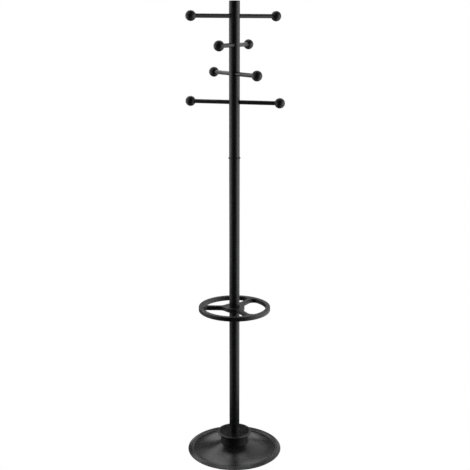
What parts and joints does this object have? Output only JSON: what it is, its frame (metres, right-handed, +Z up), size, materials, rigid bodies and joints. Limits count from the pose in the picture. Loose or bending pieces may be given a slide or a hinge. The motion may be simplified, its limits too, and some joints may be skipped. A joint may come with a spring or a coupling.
{
  "type": "standing coat rack",
  "caption": "Free-standing coat rack: a screwed-together pole on a weighted round base, through pegs with ball ends, and an umbrella ring that turns about the pole.",
  "frame": {"origin": "on the pole's axis, at the floor", "axes": "+Z up along the pole; the umbrella ring and the pegs point at their own angles about it, and -Y faces the viewer"},
  "size_m": [0.375, 0.375, 1.76],
  "materials": {
    "black_steel": "satin black powder coat",
    "black_plastic": "moulded black plastic, satin",
    "ball_plastic": "moulded black plastic, soft satin",
    "zinc_steel": "zinc-plated steel, hidden inside",
    "cast_iron": "rough cast iron, hidden under the base",
    "rubber": "matt black rubber"
  },
  "bodies": {
    "stand": {"base_dish": "black_steel", "floor_ring": "rubber", "ballast_disc": "cast_iron", "base_bolt": "zinc_steel", "base_washer": "zinc_steel", "pole_socket": "zinc_steel", "hub_cover": "black_plastic", "hub_disc": "black_plastic", "lower_tube": "black_steel", "middle_tube": "black_steel", "upper_tube": "black_steel", "lower_tube_bottom_insert": "zinc_steel", "lower_tube_top_insert": "zinc_steel", "middle_tube_bottom_insert": "zinc_steel", "middle_tube_top_insert": "zinc_steel", "upper_tube_bottom_insert": "zinc_steel", "lower_stud": "zinc_steel", "upper_stud": "zinc_steel", "ring_bush": "black_plastic", "joint_ring": "black_plastic", "top_cap": "black_plastic", "peg_1": "black_steel", "peg_2": "black_steel", "peg_3": "black_steel", "peg_4": "black_steel", "ball_1_right": "ball_plastic", "ball_1_left": "ball_plastic", "ball_2_right": "ball_plastic", "ball_2_left": "ball_plastic", "ball_3_right": "ball_plastic", "ball_3_left": "ball_plastic", "ball_4_right": "ball_plastic", "ball_4_left": "ball_plastic"},
    "umbrella_holder": {"umbrella_ring": "black_plastic"}
  },
  "joints": [
    {"name": "umbrella_ring_turn", "type": "hinge", "parent": "stand", "child": "umbrella_holder", "pos_m": [0, 0, 0.599], "axis": [0, 0, 1], "continuous": true}
  ]
}
